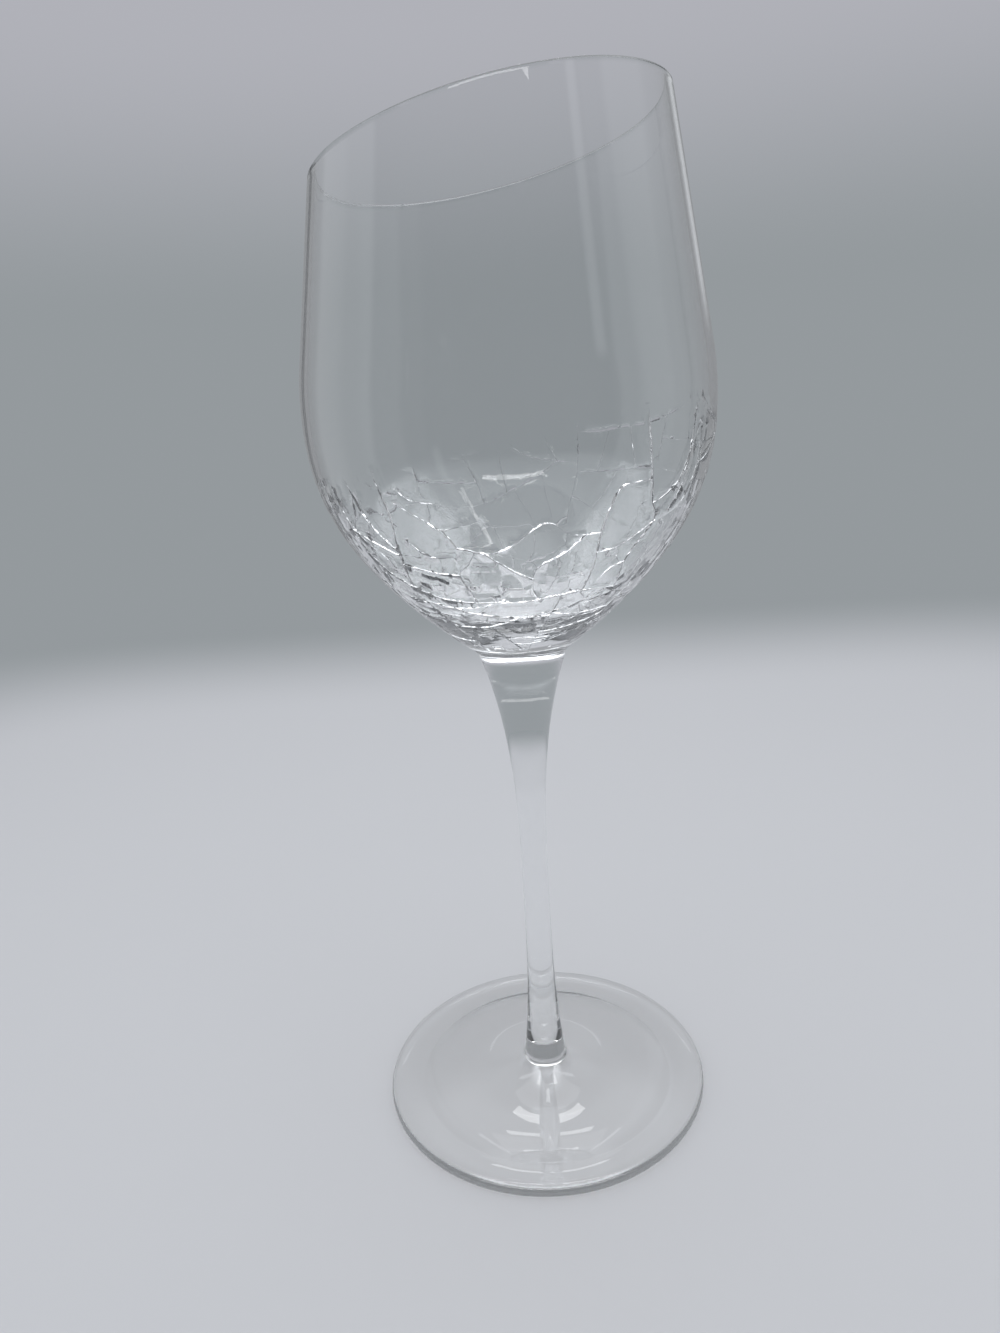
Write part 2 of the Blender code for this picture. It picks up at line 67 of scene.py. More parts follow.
# Stem
STEM_ROOT_RADIUS = 0.0056
STEM_ROOT_HEIGHT = 0.0079
STEM_ROOT_FLARE = math.radians(7.8)
STEM_WAIST_RADIUS = 0.0034
STEM_WAIST_HEIGHT = 0.0600
COLLAR_RADIUS = 0.0109
COLLAR_HEIGHT = 0.1234

# Bowl
BELLY_RADIUS = 0.0460
BELLY_RISE = 0.0566
BELLY_HANDLE = 0.0176
COLLAR_HANDLE = 0.0377
COLLAR_ANGLE = math.radians(38.2)
SHOULDER_RADIUS = 0.0700
TAPER_ANGLE = math.radians(9.3)
WALL_AT_RIM = 0.0015
WALL_AT_BELLY = 0.0017
FLOOR_THICKNESS = 0.0062
FLOOR_HANDLE = 0.0110
WALL_FOOT_RISE = 0.0130
WALL_FOOT_HANDLE = 0.0070

# Rim
RIM_RISE = 0.0600
RIM_TILT = math.radians(10.1)
RIM_LOW_SIDE = math.radians(164.0)
LIP_ROUND = 0.00065
LIP_GUARD = 1.3
BLANK_EXTRA = 0.0060

# Crackled zone, from a ring just above the collar up to a slanted line alongside the rim
CRACKLE_DROP = 0.0605
CRACKLE_FADE = 0.0045
CRACKLE_START_RISE = 0.0032
CRACKLE_START_FADE = 0.0022
CRACKLE_GAP = 0.0006
LEAST_STRENGTH = 0.08

# Cells of the sides and the back, made by breaking panes of the skin in two again and again
CELL_AREA = 0.000170
CELL_AREA_LEAST = 0.6
CELL_AREA_MOST = 1.4
CELL_ASPECT = 1.3
CUT_TURN = math.radians(32)
CUT_SHIFT = 0.14
FIRST_CRACKS = 9
FIRST_CRACK_SHIFT = 0.25
FIRST_CRACK_TWIST = math.radians(22)
CRACK_WANDER = 0.0024
CRACK_WANDER_SPAN = 0.0190
CRACK_SEED = 12

# The large cracks of the front, as azimuth in degrees and height above the collar in millimetres
FRONT_CRACKS = (
    ((-107, 31.1), (-95, 30.0), (-82.5, 35.2), (-74.5, 32.5), (-66, 32.4)),
    ((-66, 32.4), (-64.5, 37.2), (-61.5, 41.0), (-53.5, 41.8)),
    ((-66, 32.4), (-65, 25.4), (-66, 19.5)),
    ((-55.5, 55.0), (-53.5, 46.0), (-51, 38.0), (-47.5, 33.0), (-52.5, 25.6), (-50, 19.0)),
    ((-50.5, 37.0), (-44, 39.0), (-38.5, 43.5), (-36.5, 54.0)),
    ((-47.5, 33.0), (-37, 35.2), (-33, 41.0), (-32.5, 50.0)),
    ((-65.3, 28.0), (-58, 29.0), (-47.5, 33.0)),
    ((-62, 21.3), (-57.5, 24.1), (-52.5, 25.2)),
    ((-99, 29.8), (-92, 26.0), (-85, 23.4)),
    ((-70, 32.3), (-77, 28.4), (-84, 26.0), (-85, 21.5), (-82, 18.5)),
    ((-102, 30.0), (-105, 27.3), (-108.5, 25.0), (-106, 18.2)),
    ((-108.5, 25.0), (-117, 25.6), (-128, 27.2)),
    ((-127, 48.0), (-124.8, 37.0), (-127.2, 30.0), (-131, 21.5)),
    ((-139, 48.0), (-134.5, 36.8), (-127.2, 30.0)),
    ((-144.5, 34.3), (-137, 32.0), (-127.5, 29.0)),
    ((-147, 46.0), (-144.5, 34.0), (-141, 26.0), (-131, 21.5)),
    ((-120, 43.0), (-117, 41.0), (-110, 40.2)),
    ((-122, 40.4), (-114.5, 37.0), (-110, 35.0), (-99.5, 36.6)),
    ((-110, 35.0), (-107, 31.1)),
    ((-121.5, 32.6), (-117, 29.4), (-108, 29.1)),
    ((-131, 21.5), (-118, 18.8), (-92, 18.1), (-66, 19.5), (-50, 19.0)),
)

# The part of the skin that those take up, which the cells leave free
FRONT_LEFT = math.radians(-146)
FRONT_RIGHT = math.radians(-33)
FRONT_LOWEST_RISE = 0.0188

# Section of a crack: a softened shoulder, a groove, the mouth of the fissure in the groove's
# middle, and the fissure. The weakest crack keeps the least breadth, as a share of the full one.
# A reach is a number of half widths of the mouth, within which a point belongs to what it names.
LEAST_BREADTH = 0.43
SHOULDER_WIDTH = 0.00010
SHOULDER_SINK = 0.000006
GROOVE_HALF_WIDTH = 0.00005
GROOVE_DEPTH = 0.00004
GROOVE_CHANGE = 0.45
GROOVE_CHANGE_SPAN = 0.0021
MOUTH_HALF_WIDTH = 0.000015
MOUTH_REACH = 3
FISSURE_REACH = 0.2
FISSURE_DEPTH = 0.00090
FISSURE_LEAN = 0.00080
FISSURE_LEAN_SPAN = 0.0140
FISSURE_LEAN_CHANGE = 1.7
FISSURE_RAGGED = 0.00010

# Course of a crack: how far it frays from its line, and how it thins where it ends in a pane
FRAY = 0.00022
FRAY_SPAN = 0.0034
FINE_FRAY = 0.00012
FINE_FRAY_SPAN = 0.0009
FREE_END_TAPER = 0.0050
JOINED_WITHIN = 0.0009

# The panes between the cracks: each tilts a little and rounds off towards its edges
PANE_TILT = math.radians(0.35)
PANE_TILT_LIMIT = 0.00010
PANE_ROUND_SINK = 0.000014
PANE_ROUND_SPAN = 0.0008
PANE_SEED = 5

# Hairlines between the large cracks. A group has a count, its first and last azimuth in degrees,
# its lowest and highest rise and its shortest and longest line in millimetres, and its slant.
HAIRLINES = (
    (64, -180, 180, 3.2, 16, 4, 15, 6),
    (16, -178, -140, 12, 36, 6, 16, 72),
    (16, -42, 0, 14, 46, 6, 16, 68),
    (10, -135, -50, 15, 30, 4, 9, 14),
)
HAIRLINE_TURN = math.radians(14)
HAIRLINE_WANDER = 0.0011
HAIRLINE_WANDER_SPAN = 0.0060
HAIRLINE_STRENGTH = 0.27
HAIRLINE_SEED = 21

# The cracks of the far side, which get finer from this rise above the collar on
FAR_WALL_STRENGTH = 0.3
FAR_WALL_RISE = 0.0120
FAR_WALL_ONSET = 3

# Fineness of the mesh
TURN_STEPS = 192
INNER_STEPS = 60
FLOOR_STEPS = 14
FLARE_STEPS = 30
STEM_STEPS = 16
FOOT_STEPS = 14
ROUND_STEPS = 6
LIP_STEPS = 5
PANE_STEPS = 6
TAPER_STEPS = 12
SKIN_STEPS = 400
CRACK_STEP = 0.00085
PLATE_STEP = 0.0017
PLATE_CLEARANCE = 0.0009
EDGE_HALVINGS = 12
NEAREST_SEGMENTS = 14
MERGE = 0.000001
CUT_MERGE = MERGE / 10
DISC_MERGE = 0.00002
TINY = 1e-9

# Heights and radii that follow from the values above
BELLY_HEIGHT = COLLAR_HEIGHT + BELLY_RISE
RIM_TOP = BELLY_HEIGHT + RIM_RISE
SHOULDER_HEIGHT = BELLY_HEIGHT + SHOULDER_RADIUS * math.sin(TAPER_ANGLE)
SHOULDER_INSET = SHOULDER_RADIUS * (1 - math.cos(TAPER_ANGLE))
BLANK_TOP = RIM_TOP + BLANK_EXTRA

# Camera, as fitted to the outline of the glass in a picture of 1000 by 1333 pixels
CAMERA_DISTANCE = 0.2166
CAMERA_HEIGHT = 0.1827
CAMERA_PITCH = math.radians(16.37)
CAMERA_YAW = math.radians(-1.51)
CAMERA_ROLL = math.radians(-3.71)
CAMERA_NEAREST = 0.01
FOCAL_PIXELS = 924
PHOTO_LONG_SIDE = 1333
SENSOR = 36

# Glass, with a fine ripple between two heights. Light that is mirrored this often is caught in it.
GLASS_COLOUR = (0.985, 0.99, 0.992)
GLASS_IOR = 1.5
RIPPLE_SCALE = 260.0
RIPPLE_RISE = 0.000014
RIPPLE_ELSEWHERE = 0.08
RIPPLED_HEIGHTS = (0.142, 0.172)
RIPPLE_FADE = 0.004
SHADOW_COLOUR = (0.965, 0.96, 0.955)
CAUGHT_AFTER = 3
CAUGHT_COLOUR = (0.38, 0.39, 0.40)

# Floor, a table top that ends in a soft edge behind the glass
FLOOR_GAP = 0.0001
FLOOR_HALF_SIZE = 6.0
FLOOR_FADE_START = 0.33
FLOOR_FADE_END = 0.56
FLOOR_CORNER_POWER = 6
FLOOR_COLOUR = (0.552, 0.563, 0.588)
FLOOR_CLOUD_COLOUR = (0.46, 0.47, 0.49)
FLOOR_CLOUD_SCALE = 9.0
FLOOR_CLOUD_SHARE = 0.06

# Backdrop, paler from the first to the second sine of the elevation, and the room's even light
BACKDROP_LOW = (0.298, 0.322, 0.339)
BACKDROP_HIGH = (0.436, 0.442, 0.482)
BACKDROP_CHANGE = (0.088, 0.33)
AMBIENT = (0.56, 0.57, 0.59)

# Walls of the room, which only glass mirrors. Each has its first and last azimuth in degrees from
# straight ahead, the softness of its edges in degrees, and how much paler it is than the rest.
ROOM_TINT = (0.97, 1.0, 1.04)
WALL_LEVEL = 0.07
WALLS = (
    (-103, -32, 2, 0.34),
    (-80, -55, 3, 0.08),
    (-55, -32, 3, -0.08),
    (-29, 72, 2, 0.25),
    (72, 106, 3, 0.36),
    (106, 123, 3, 0.12),
)

# Pale strips on the walls, given like them, which begin between two sines of the elevation
WALL_STRIPS = (
    (125, 131, 1.5, 0.5, 0.2, 0.3),
    (23, 33, 2, 0.3, 0.08, 0.15),
)

# Ceiling, in azimuths in degrees and sines of the elevation. The third number of a band is the
# softness of its edges.
CEILING_LOW = 1.45
CEILING_LOW_START = (0.36, 0.42)
CEILING_HIGH = 3.0
CEILING_HIGH_START = (0.35, 0.85)
CEILING_FRONT = (-92, 112, 8)
CEILING_BEHIND = 0.25
OVERHEAD_START = (0.88, 0.95)
OVERHEAD_LEVEL = 1.2
OVERHEAD_GLINT = 5.5
AHEAD_TURN = (-38, 38, 8)
AHEAD_RISE = (0.66, 0.93, 0.06)
AHEAD_LEVEL = 0.6
AHEAD_DIMMING = 0.45
CROSSED_BEFORE_FAR_WALL = 3

# Lamps. The ones that the foot mirrors face the foot, and the others face the bowl.
FOOT_LAMP_DISTANCE = 2.50
BOWL_LAMP_DISTANCE = 1.30
BOWL_LAMP_AIM = 0.2


def bezier(start, start_handle, end_handle, end, count):
    """Points of a cubic curve, both ends included."""
    corners = [Vector(point) for point in (start, start_handle, end_handle, end)]
    points = []
    for index in range(count + 1):
        t = index / count
        weights = ((1 - t) ** 3, 3 * t * (1 - t) ** 2, 3 * t * t * (1 - t), t**3)
        shares = [corner * weight for corner, weight in zip(corners, weights)]
        points.append(sum(shares, Vector((0, 0))))
    return points


def arc(centre, radius, start_angle, end_angle, count):
    """Points of a circular arc, both ends included. Angles run from the profile's outward axis."""
    points = []
    for index in range(count + 1):
        angle = start_angle + (end_angle - start_angle) * index / count
        out, up = radius * math.cos(angle), radius * math.sin(angle)
        points.append(Vector((centre[0] + out, centre[1] + up)))
    return points


def lower_bowl(count):
    """The outer bowl from the collar up to its widest ring, as radius and height."""
    collar = (COLLAR_RADIUS, COLLAR_HEIGHT)
    collar_handle = (
        COLLAR_RADIUS + COLLAR_HANDLE * math.cos(COLLAR_ANGLE),
        COLLAR_HEIGHT + COLLAR_HANDLE * math.sin(COLLAR_ANGLE),
    )
    belly_handle = (BELLY_RADIUS, BELLY_HEIGHT - BELLY_HANDLE)
    return bezier(collar, collar_handle, belly_handle, (BELLY_RADIUS, BELLY_HEIGHT), count)


def shoulder(inset, count):
    """The arc from the widest ring up to the straight taper, moved in by the wall for the inside."""
    centre = (BELLY_RADIUS - SHOULDER_RADIUS, BELLY_HEIGHT)
    return arc(centre, SHOULDER_RADIUS - inset, 0, TAPER_ANGLE, count)


def taper_point(height, inset):
    """A point of the straight taper above the shoulder."""
    above = height - SHOULDER_HEIGHT
    return Vector((BELLY_RADIUS - SHOULDER_INSET - above * math.tan(TAPER_ANGLE) - inset, height))


def inner_profile():
    """The inside, from the middle of its floor up to the top of the blank."""
    outer = lower_bowl(INNER_STEPS)
    wall = []
    for before, point, after in zip(outer, outer[1:], outer[2:]):
        along = (after - before).normalized()
        if point.y > COLLAR_HEIGHT + WALL_FOOT_RISE:
            wall.append(point + Vector((-along.y, along.x)) * WALL_AT_BELLY)
    floor = Vector((0, COLLAR_HEIGHT + FLOOR_THICKNESS))
    wall_foot = wall[0]
    down_wall = (wall[0] - wall[1]).normalized()
    rounding = bezier(
        floor,
        floor + Vector((FLOOR_HANDLE, 0)),
        wall_foot + down_wall * WALL_FOOT_HANDLE,
        wall_foot,
        FLOOR_STEPS,
    )
    upper = shoulder(WALL_AT_BELLY, ROUND_STEPS)
    top = taper_point(BLANK_TOP, WALL_AT_RIM)
    taper = [upper[-1].lerp(top, step / TAPER_STEPS) for step in range(1, TAPER_STEPS + 1)]
    return rounding + wall[1:] + upper + taper


def stem_profile():
    """The stem, flaring from its waist up to the collar and widening a little down to its root."""
    waist = (STEM_WAIST_RADIUS, STEM_WAIST_HEIGHT)
    rise = (COLLAR_HEIGHT - STEM_WAIST_HEIGHT) / 3
    flare = bezier(
        (COLLAR_RADIUS, COLLAR_HEIGHT),
        (STEM_WAIST_RADIUS, COLLAR_HEIGHT - rise),
        (STEM_WAIST_RADIUS, STEM_WAIST_HEIGHT + rise),
        waist,
        FLARE_STEPS,
    )
    fall = (STEM_WAIST_HEIGHT - STEM_ROOT_HEIGHT) / 3
    lower = bezier(
        waist,
        (STEM_WAIST_RADIUS, STEM_WAIST_HEIGHT - fall),
        (STEM_ROOT_RADIUS - fall * math.tan(STEM_ROOT_FLARE), STEM_ROOT_HEIGHT + fall),
        (STEM_ROOT_RADIUS, STEM_ROOT_HEIGHT),
        STEM_STEPS,
    )
    return flare + lower[1:]


def foot_profile():
    """The foot, from the root of the stem over its top, round its edge and in under it."""
    hub = Vector((FOOT_HUB_RADIUS, FOOT_HUB_HEIGHT))
    root = Vector((STEM_ROOT_RADIUS, STEM_ROOT_HEIGHT))
    gap = FOOT_HUB_RADIUS - STEM_ROOT_RADIUS
    corner = hub + Vector((-gap, gap * math.tan(FOOT_FALL_AT_HUB)))
    fillet = bezier(root, root.lerp(corner, HUB_HOLLOW), hub.lerp(corner, HUB_HOLLOW), hub, ROUND_STEPS)
    edge_radius = FOOT_EDGE / 2
    edge_centre = (FOOT_RADIUS - edge_radius, edge_radius)
    edge = arc(edge_centre, edge_radius, math.pi / 2, -math.pi / 2, FOOT_STEPS)
    reach = (edge[0].x - FOOT_HUB_RADIUS) / 3
    top = bezier(
        hub,
        hub + Vector((reach, -reach * math.tan(FOOT_FALL_AT_HUB))),
        edge[0] + Vector((-reach, reach * math.tan(FOOT_FALL_AT_EDGE))),
        edge[0],
        FOOT_STEPS,
    )
    cove = Vector((-math.cos(RECESS_SLOPE), math.sin(RECESS_SLOPE))) * RECESS_COVE
    recess = bezier(
        (RECESS_RADIUS, 0),
        Vector((RECESS_RADIUS, 0)) + cove,
        (RECESS_HANDLE, RECESS_DEPTH),
        (0, RECESS_DEPTH),
        FOOT_STEPS,
    )
    return fillet[1:] + top[1:] + edge[1:] + recess


class BowlSkin:
    """The outer skin of the crackled bowl, pressed flat onto a disc with its angles kept true.

    A place on the disc is an azimuth and a spread. The spread grows by one radius of travel up
    the bowl for each radian, so a small shape on the disc keeps its form on the bowl.
    """

    def __init__(self):
        fine = lower_bowl(SKIN_STEPS) + shoulder(0, SKIN_STEPS)[1:]
        radius = np.array([point.x for point in fine])
        height = np.array([point.y for point in fine])
        travel = np.concatenate([[0], np.cumsum(np.hypot(np.diff(radius), np.diff(height)))])
        middle = (radius[1:] + radius[:-1]) / 2
        spread = np.concatenate([[0], np.cumsum(np.diff(travel) / middle)])
        self.spread = spread - spread[-1]
        self.radius = radius
        self.height = height
        self.normal_out = np.gradient(height, travel)
        self.normal_up = -np.gradient(radius, travel)
        self.lowest = self.spread_at(COLLAR_HEIGHT + CRACKLE_START_RISE)

    def spread_at(self, height):
        return float(np.interp(height, self.height, self.spread))

    def radius_at(self, spread):
        return float(np.interp(spread, self.spread, self.radius))

    def height_at(self, spread):
        return float(np.interp(spread, self.spread, self.height))

    def place(self, azimuth, spread, depth):
        """Points of the bowl, sunk by depth below its skin. It takes numbers or arrays."""
        out = np.interp(spread, self.spread, self.radius)
        out = out - depth * np.interp(spread, self.spread, self.normal_out)
        up = np.interp(spread, self.spread, self.height)
        up = up - depth * np.interp(spread, self.spread, self.normal_up)
        return np.stack([out * np.cos(azimuth), out * np.sin(azimuth), up], axis=-1)


def to_disc(azimuth, spread):
    return Vector((math.exp(spread) * math.cos(azimuth), math.exp(spread) * math.sin(azimuth)))


def from_disc(point):
    return math.atan2(point.y, point.x), math.log(max(point.length, TINY))


def rim_plane_height(x, y):
    """Height of the slanted rim plane. Its high side passes through the top of the rim."""
    slope = math.tan(RIM_TILT)
    reach = taper_point(RIM_TOP, 0).x
    along = x * math.cos(RIM_LOW_SIDE) + y * math.sin(RIM_LOW_SIDE)
    return RIM_TOP - slope * (along + reach)


def crackle_strength(skin, azimuth, spread):
    """1 in the crackled zone, falling to 0 at the slanted line where the cracks end."""
    radius = skin.radius_at(spread)
    height = skin.height_at(spread)
    line = rim_plane_height(radius * math.cos(azimuth), radius * math.sin(azimuth)) - CRACKLE_DROP
    below_line = (line - height) / CRACKLE_FADE
    below_shoulder = (SHOULDER_HEIGHT - height - CRACKLE_GAP) / CRACKLE_FADE
    above_start = ((spread - skin.lowest) * radius - CRACKLE_GAP) / CRACKLE_START_FADE
    return max(0.0, min(1.0, below_line, below_shoulder, above_start))


def split(polygon, point, direction):
    """Cuts a convex polygon of the disc along a line. Returns the two halves and the crack."""
    side = Vector((-direction.y, direction.x))
    halves = ([], [])
    ends = []
    for index, corner in enumerate(polygon):
        following = polygon[(index + 1) % len(polygon)]
        here = (corner - point).dot(side)
        there = (following - point).dot(side)
        halves[0 if here >= 0 else 1].append(corner)
        if (here >= 0) != (there >= 0):
            crossing = corner.lerp(following, here / (here - there))
            ends.append(crossing)
            halves[0].append(crossing)
            halves[1].append(crossing)
    return halves, ends


def area_of(polygon):
    total = 0.0
    for index, corner in enumerate(polygon):
        following = polygon[(index + 1) % len(polygon)]
        total += corner.x * following.y - corner.y * following.x
    return abs(total) / 2


def break_up(skin, polygon, rng, cracks):
    """Breaks one pane of the skin in two, again and again, until its pieces are small."""
    centre = sum(polygon, Vector((0, 0))) / len(polygon)
    _, spread = from_disc(centre)
    scale = skin.radius_at(spread) / centre.length
    if area_of(polygon) * scale * scale < CELL_AREA * rng.uniform(CELL_AREA_LEAST, CELL_AREA_MOST):
        return
    outward = centre.normalized()
    around = Vector((-outward.y, outward.x))
    tall = max(point.dot(outward) for point in polygon) - min(point.dot(outward) for point in polygon)
    wide = max(point.dot(around) for point in polygon) - min(point.dot(around) for point in polygon)
    direction = around if tall * CELL_ASPECT > wide else outward
    turn = rng.uniform(-CUT_TURN, CUT_TURN)
    direction = direction * math.cos(turn) + Vector((-direction.y, direction.x)) * math.sin(turn)
    shift_out = tall * rng.uniform(-CUT_SHIFT, CUT_SHIFT)
    shift_around = wide * rng.uniform(-CUT_SHIFT, CUT_SHIFT)
    halves, ends = split(polygon, centre + outward * shift_out + around * shift_around, direction)
    if len(ends) != 2:
        return
    cracks.append(ends)
    for half in halves:
        break_up(skin, half, rng, cracks)


def waver(skin, point, amount, span):
    """Moves a place of the disc a little, by a smooth random push that changes over the span."""
    azimuth, spread = from_disc(point)
    place = Vector(skin.place(azimuth, spread, 0))
    push = noise.noise_vector(place / span) * amount / skin.radius_at(spread)
    return to_disc(azimuth + push.x, spread + push.y)


def walk(skin, start, end):
    """Even steps along a straight line of the disc, both ends included."""
    middle = (start + end) / 2
    scale = skin.radius_at(from_disc(middle)[1]) / middle.length
    count = max(1, round((end - start).length * scale / CRACK_STEP))
    return [start.lerp(end, index / count) for index in range(count + 1)]


def in_front(skin, point):
    azimuth, spread = from_disc(point)
    rise = skin.height_at(spread) - COLLAR_HEIGHT
    return FRONT_LEFT < azimuth < FRONT_RIGHT and rise > FRONT_LOWEST_RISE


def random_cracks(skin):
    """The cracks of the sides, the back and the underside, as lines on the disc."""
    rng = random.Random(CRACK_SEED)
    noise.seed_set(CRACK_SEED)
    turns = []
    for index in range(FIRST_CRACKS):
        turn = 2 * math.pi * (index + rng.uniform(-FIRST_CRACK_SHIFT, FIRST_CRACK_SHIFT)) / FIRST_CRACKS
        turns.append((turn, turn + rng.uniform(-FIRST_CRACK_TWIST, FIRST_CRACK_TWIST)))
    turns.append((turns[0][0] + 2 * math.pi, turns[0][1] + 2 * math.pi))
    cracks = []
    for (left, left_top), (right, right_top) in zip(turns, turns[1:]):
        width = right_top - left_top
        outer = [to_disc(left_top + width * step / PANE_STEPS, 0) for step in range(PANE_STEPS + 1)]
        inner = [to_disc(right, skin.lowest), to_disc(left, skin.lowest)]
        cracks.append([inner[1], outer[0]])
        break_up(skin, outer + inner, rng, cracks)
    lines = []
    for start, end in cracks:
        run = []
        for point in walk(skin, start, end):
            if in_front(skin, point):
                lines.append(run)
                run = []
            else:
                run.append(waver(skin, point, CRACK_WANDER, CRACK_WANDER_SPAN))
        lines.append(run)
    return lines


def front_cracks(skin):
    """The large cracks of the front, as smooth curves through their chosen places."""
    lines = []
    for crack in FRONT_CRACKS:
        places = []
        for degrees, rise in crack:
            places.append(Vector((math.radians(degrees), skin.spread_at(COLLAR_HEIGHT + rise * MM))))
        before = places[0] * 2 - places[1]
        after = places[-1] * 2 - places[-2]
        knots = [before] + places + [after]
        line = []
        for index in range(1, len(knots) - 2):
            first, start, end, last = knots[index - 1 : index + 3]
            length = (end - start).length * skin.radius_at(start.y)
            count = max(1, round(length / CRACK_STEP))
            curve = bezier(start, start + (end - first) / 6, end - (last - start) / 6, end, count)
            line += [to_disc(*place) for place in curve[:-1]]
        lines.append(line + [to_disc(*places[-1])])
    return lines


def strength_at(skin, point):
    return crackle_strength(skin, *from_disc(point))


def is_cracked(skin, point):
    return strength_at(skin, point) > LEAST_STRENGTH


def hairlines(skin):
    """Short, shallow cracks between the large ones, as lines on the disc."""
    rng = random.Random(HAIRLINE_SEED)
    lines = []
    for count, left, right, lowest, highest, shortest, longest, slant in HAIRLINES:
        for _ in range(count):
            azimuth = math.radians(rng.uniform(left, right))
            start = to_disc(azimuth, skin.spread_at(COLLAR_HEIGHT + rng.uniform(lowest, highest) * MM))
            turn = math.radians(slant * rng.choice((-1, 1))) + rng.uniform(-HAIRLINE_TURN, HAIRLINE_TURN)
            outward = start.normalized()
            around = Vector((-outward.y, outward.x))
            ahead = around * math.cos(turn) + outward * math.sin(turn)
            length = rng.uniform(shortest, longest) * MM * disc_scale(skin, start)
            line = walk(skin, start, start + ahead * length)
            lines.append([waver(skin, point, HAIRLINE_WANDER, HAIRLINE_WANDER_SPAN) for point in line])
    return lines


def zone_edge(skin, here, there):
    """The place between two points, one crackled and one not, where a crack comes to its end."""
    for _ in range(EDGE_HALVINGS):
        middle = (here + there) / 2
        if is_cracked(skin, middle) == is_cracked(skin, here):
            here = middle
        else:
            there = middle
    return here


def live_runs(skin, line):
    """The stretches of a crack that lie in the crackled zone."""
    runs = [[]]
    for here, there in zip(line, line[1:] + line[-1:]):
        alive = is_cracked(skin, here)
        if alive:
            runs[-1].append(here)
        if alive != is_cracked(skin, there):
            runs[-1].append(zone_edge(skin, here, there))
            runs += [[]] if alive else []
    return [run for run in runs if len(run) > 1]


def disc_scale(skin, point):
    """How long a metre on the bowl is on the disc, at this place."""
    return point.length / skin.radius_at(from_disc(point)[1])


def all_cracks(skin):
    """Every crack as a fine, slightly frayed line on the disc, and the greatest strength of each."""
    lines = []
    most = []
    large = random_cracks(skin) + front_cracks(skin)
    for index, crack in enumerate(large + hairlines(skin)):
        for run in live_runs(skin, crack):
            frayed = [waver(skin, point, FRAY, FRAY_SPAN) for point in run]
            lines.append([waver(skin, point, FINE_FRAY, FINE_FRAY_SPAN) for point in frayed])
            most.append(1.0 if index < len(large) else HAIRLINE_STRENGTH)
    return lines, most


def wall_strength(skin, point):
    """1 on the near wall, and lower on the far wall, whose cracks show through the near one."""
    azimuth, spread = from_disc(point)
    rise = skin.height_at(spread) - COLLAR_HEIGHT
    behind = max(0.0, min(1.0, math.sin(azimuth) * FAR_WALL_ONSET))
    high = max(0.0, min(1.0, rise / FAR_WALL_RISE - 1))
    return 1 - (1 - FAR_WALL_STRENGTH) * behind * high


def end_strengths(skin, lines, most):
    """The strength of each crack at its points. A crack that ends inside a pane thins to a point."""
    tree = KDTree(sum(len(line) for line in lines))
    owners = []
    for owner, line in enumerate(lines):
        for point in line:
            tree.insert(point.to_3d(), len(owners))
            owners.append(owner)
    tree.balance()
    strengths = []
    for owner, line in enumerate(lines):
        values = [strength_at(skin, point) * wall_strength(skin, point) * most[owner] for point in line]
        for end, order in ((line[0], range(len(line))), (line[-1], range(len(line) - 1, -1, -1))):
            near = tree.find_range(end.to_3d(), JOINED_WITHIN * disc_scale(skin, end))
            if any(owners[found[1]] != owner for found in near):
                continue
            travelled = 0.0
            for step, index in enumerate(order):
                if step:
                    before = line[order[step - 1]]
                    travelled += (line[index] - before).length / disc_scale(skin, line[index])
                values[index] *= min(1.0, LEAST_STRENGTH + travelled / FREE_END_TAPER)
        strengths.append(values)
    return strengths


def groove_change(skin, point):
    """How much wider or narrower than usual a crack is at a place, so that its glints break up."""
    place = Vector(skin.place(*from_disc(point), 0))
    return 1 + GROOVE_CHANGE * noise.noise(place / GROOVE_CHANGE_SPAN)


class Net:
    """Points and edges on the disc, which become one sheet of triangles."""

    def __init__(self):
        self.points = []
        self.edges = []

    def add_line(self, line):
        first = len(self.points)
        self.points += line
        self.edges += [(first + index, first + index + 1) for index in range(len(line) - 1)]

    def add_ring(self, spread, count):
        first = len(self.points)
        self.points += [to_disc(2 * math.pi * index / count, spread) for index in range(count)]
        self.edges += [(first + index, first + (index + 1) % count) for index in range(count)]


def beside(line, widths):
    """The two lines that run beside a crack at the given widths. Each stops short at its ends."""
    sides = ([], [])
    for index, point in enumerate(line):
        ahead = line[min(index + 1, len(line) - 1)] - line[max(index - 1, 0)]
        ahead.normalize()
        inward = {0: 1, len(line) - 1: -1}.get(index, 0)
        across = Vector((-ahead.y, ahead.x)) * widths[index]
        for side, way in zip(sides, (1, -1)):
            side.append(point + ahead * widths[index] * inward + across * way)
    return sides


